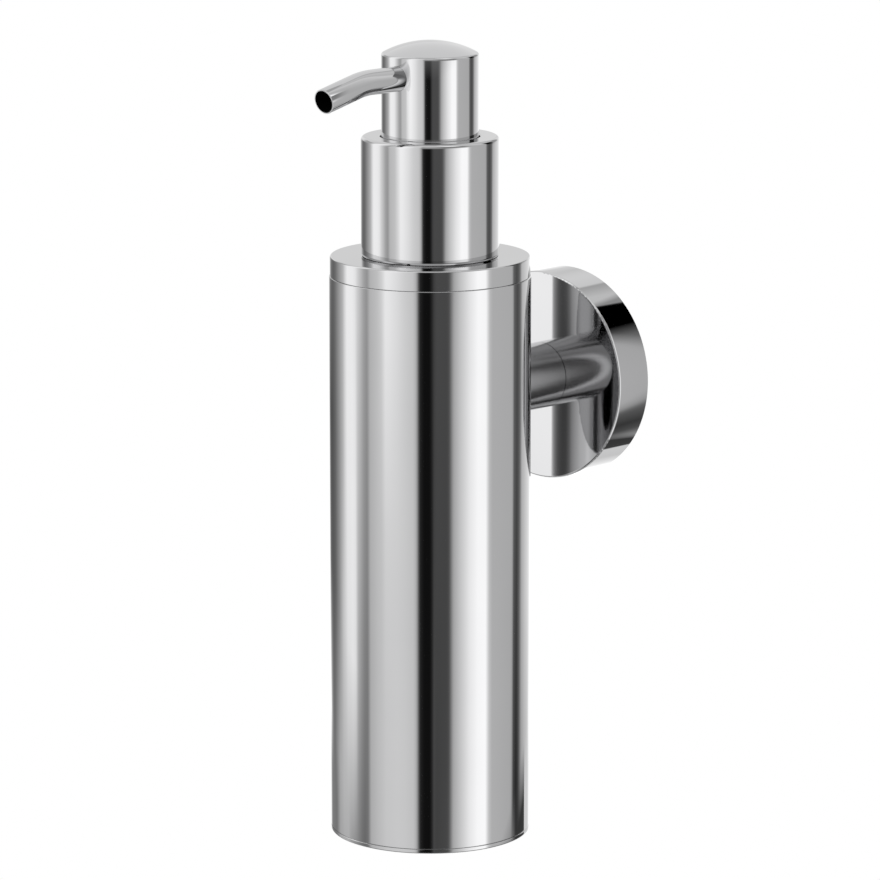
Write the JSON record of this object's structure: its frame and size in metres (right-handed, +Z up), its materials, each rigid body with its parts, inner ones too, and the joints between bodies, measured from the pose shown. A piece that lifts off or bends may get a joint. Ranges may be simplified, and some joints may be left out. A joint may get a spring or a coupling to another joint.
{
  "type": "wall mounted soap dispenser",
  "caption": "Wall mounted soap dispenser: polished steel tube on an arm and round wall rose, with lift-out bottle, lid, screw-down pump, turning head and bent spout.",
  "frame": {"origin": "centre of the wall rose's back, on the wall", "axes": "+Y into the wall, +Z up, spout towards -Y, symmetric about X = 0"},
  "size_m": [0.054, 0.0913, 0.2027],
  "materials": {
    "polished_steel": "mirror polished",
    "zinc_steel": "bright zinc plated",
    "dark_steel": "black oxide",
    "spring_steel": "drawn wire",
    "ball_steel": "ground and polished",
    "clear_plastic": "translucent natural polyethylene",
    "white_plastic": "moulded white polypropylene",
    "seal_rubber": "soft black rubber"
  },
  "bodies": {
    "root": {"wall_plate": "zinc_steel", "rose": "polished_steel", "set_screw": "dark_steel", "arm": "polished_steel", "arm_screw": "zinc_steel", "tube_screw": "zinc_steel", "curved_washer": "zinc_steel", "body_tube": "polished_steel", "base_disc": "polished_steel"},
    "bottle": {"liner_bottle": "clear_plastic", "lid": "polished_steel", "lid_seal": "seal_rubber"},
    "pump": {"pump_barrel": "white_plastic", "neck_gasket": "seal_rubber", "stem_guide": "white_plastic", "dip_tube": "clear_plastic", "return_spring": "spring_steel"},
    "inlet_valve": {"inlet_ball": "ball_steel"},
    "collar": {"closure_nut": "white_plastic", "collar_shell": "polished_steel"},
    "plunger": {"piston": "white_plastic"},
    "head": {"stem": "white_plastic", "stem_tip": "white_plastic", "head_core": "white_plastic", "head_shell": "polished_steel", "spout_tube": "polished_steel"},
    "outlet_valve": {"outlet_ball": "ball_steel"}
  },
  "joints": [
    {"name": "bottle_lift", "type": "slide", "parent": "root", "child": "bottle", "axis": [0, 0, 1], "range_m": [0, 0.15]},
    {"name": "pump_lift", "type": "slide", "parent": "bottle", "child": "pump", "axis": [0, 0, 1], "range_m": [0, 0.16]},
    {"name": "collar_turn", "type": "hinge", "parent": "pump", "child": "collar", "pos_m": [0, -0.0528, 0.04], "axis": [0, 0, 1], "range_deg": [0, 540]},
    {"name": "pump_stroke", "type": "slide", "parent": "pump", "child": "plunger", "axis": [0, 0, 1], "range_m": [-0.01, 0], "stiffness_N_per_m": 450, "springref_m": 0.01, "deforming": ["return_spring"]},
    {"name": "head_swivel", "type": "hinge", "parent": "plunger", "child": "head", "pos_m": [0, -0.0528, 0.07], "axis": [0, 0, 1], "continuous": true},
    {"name": "inlet_ball_lift", "type": "slide", "parent": "pump", "child": "inlet_valve", "axis": [0, 0, 1], "range_m": [0, 0.0015]},
    {"name": "outlet_ball_lift", "type": "slide", "parent": "head", "child": "outlet_valve", "axis": [0, 0, 1], "range_m": [0, 0.0015]}
  ]
}
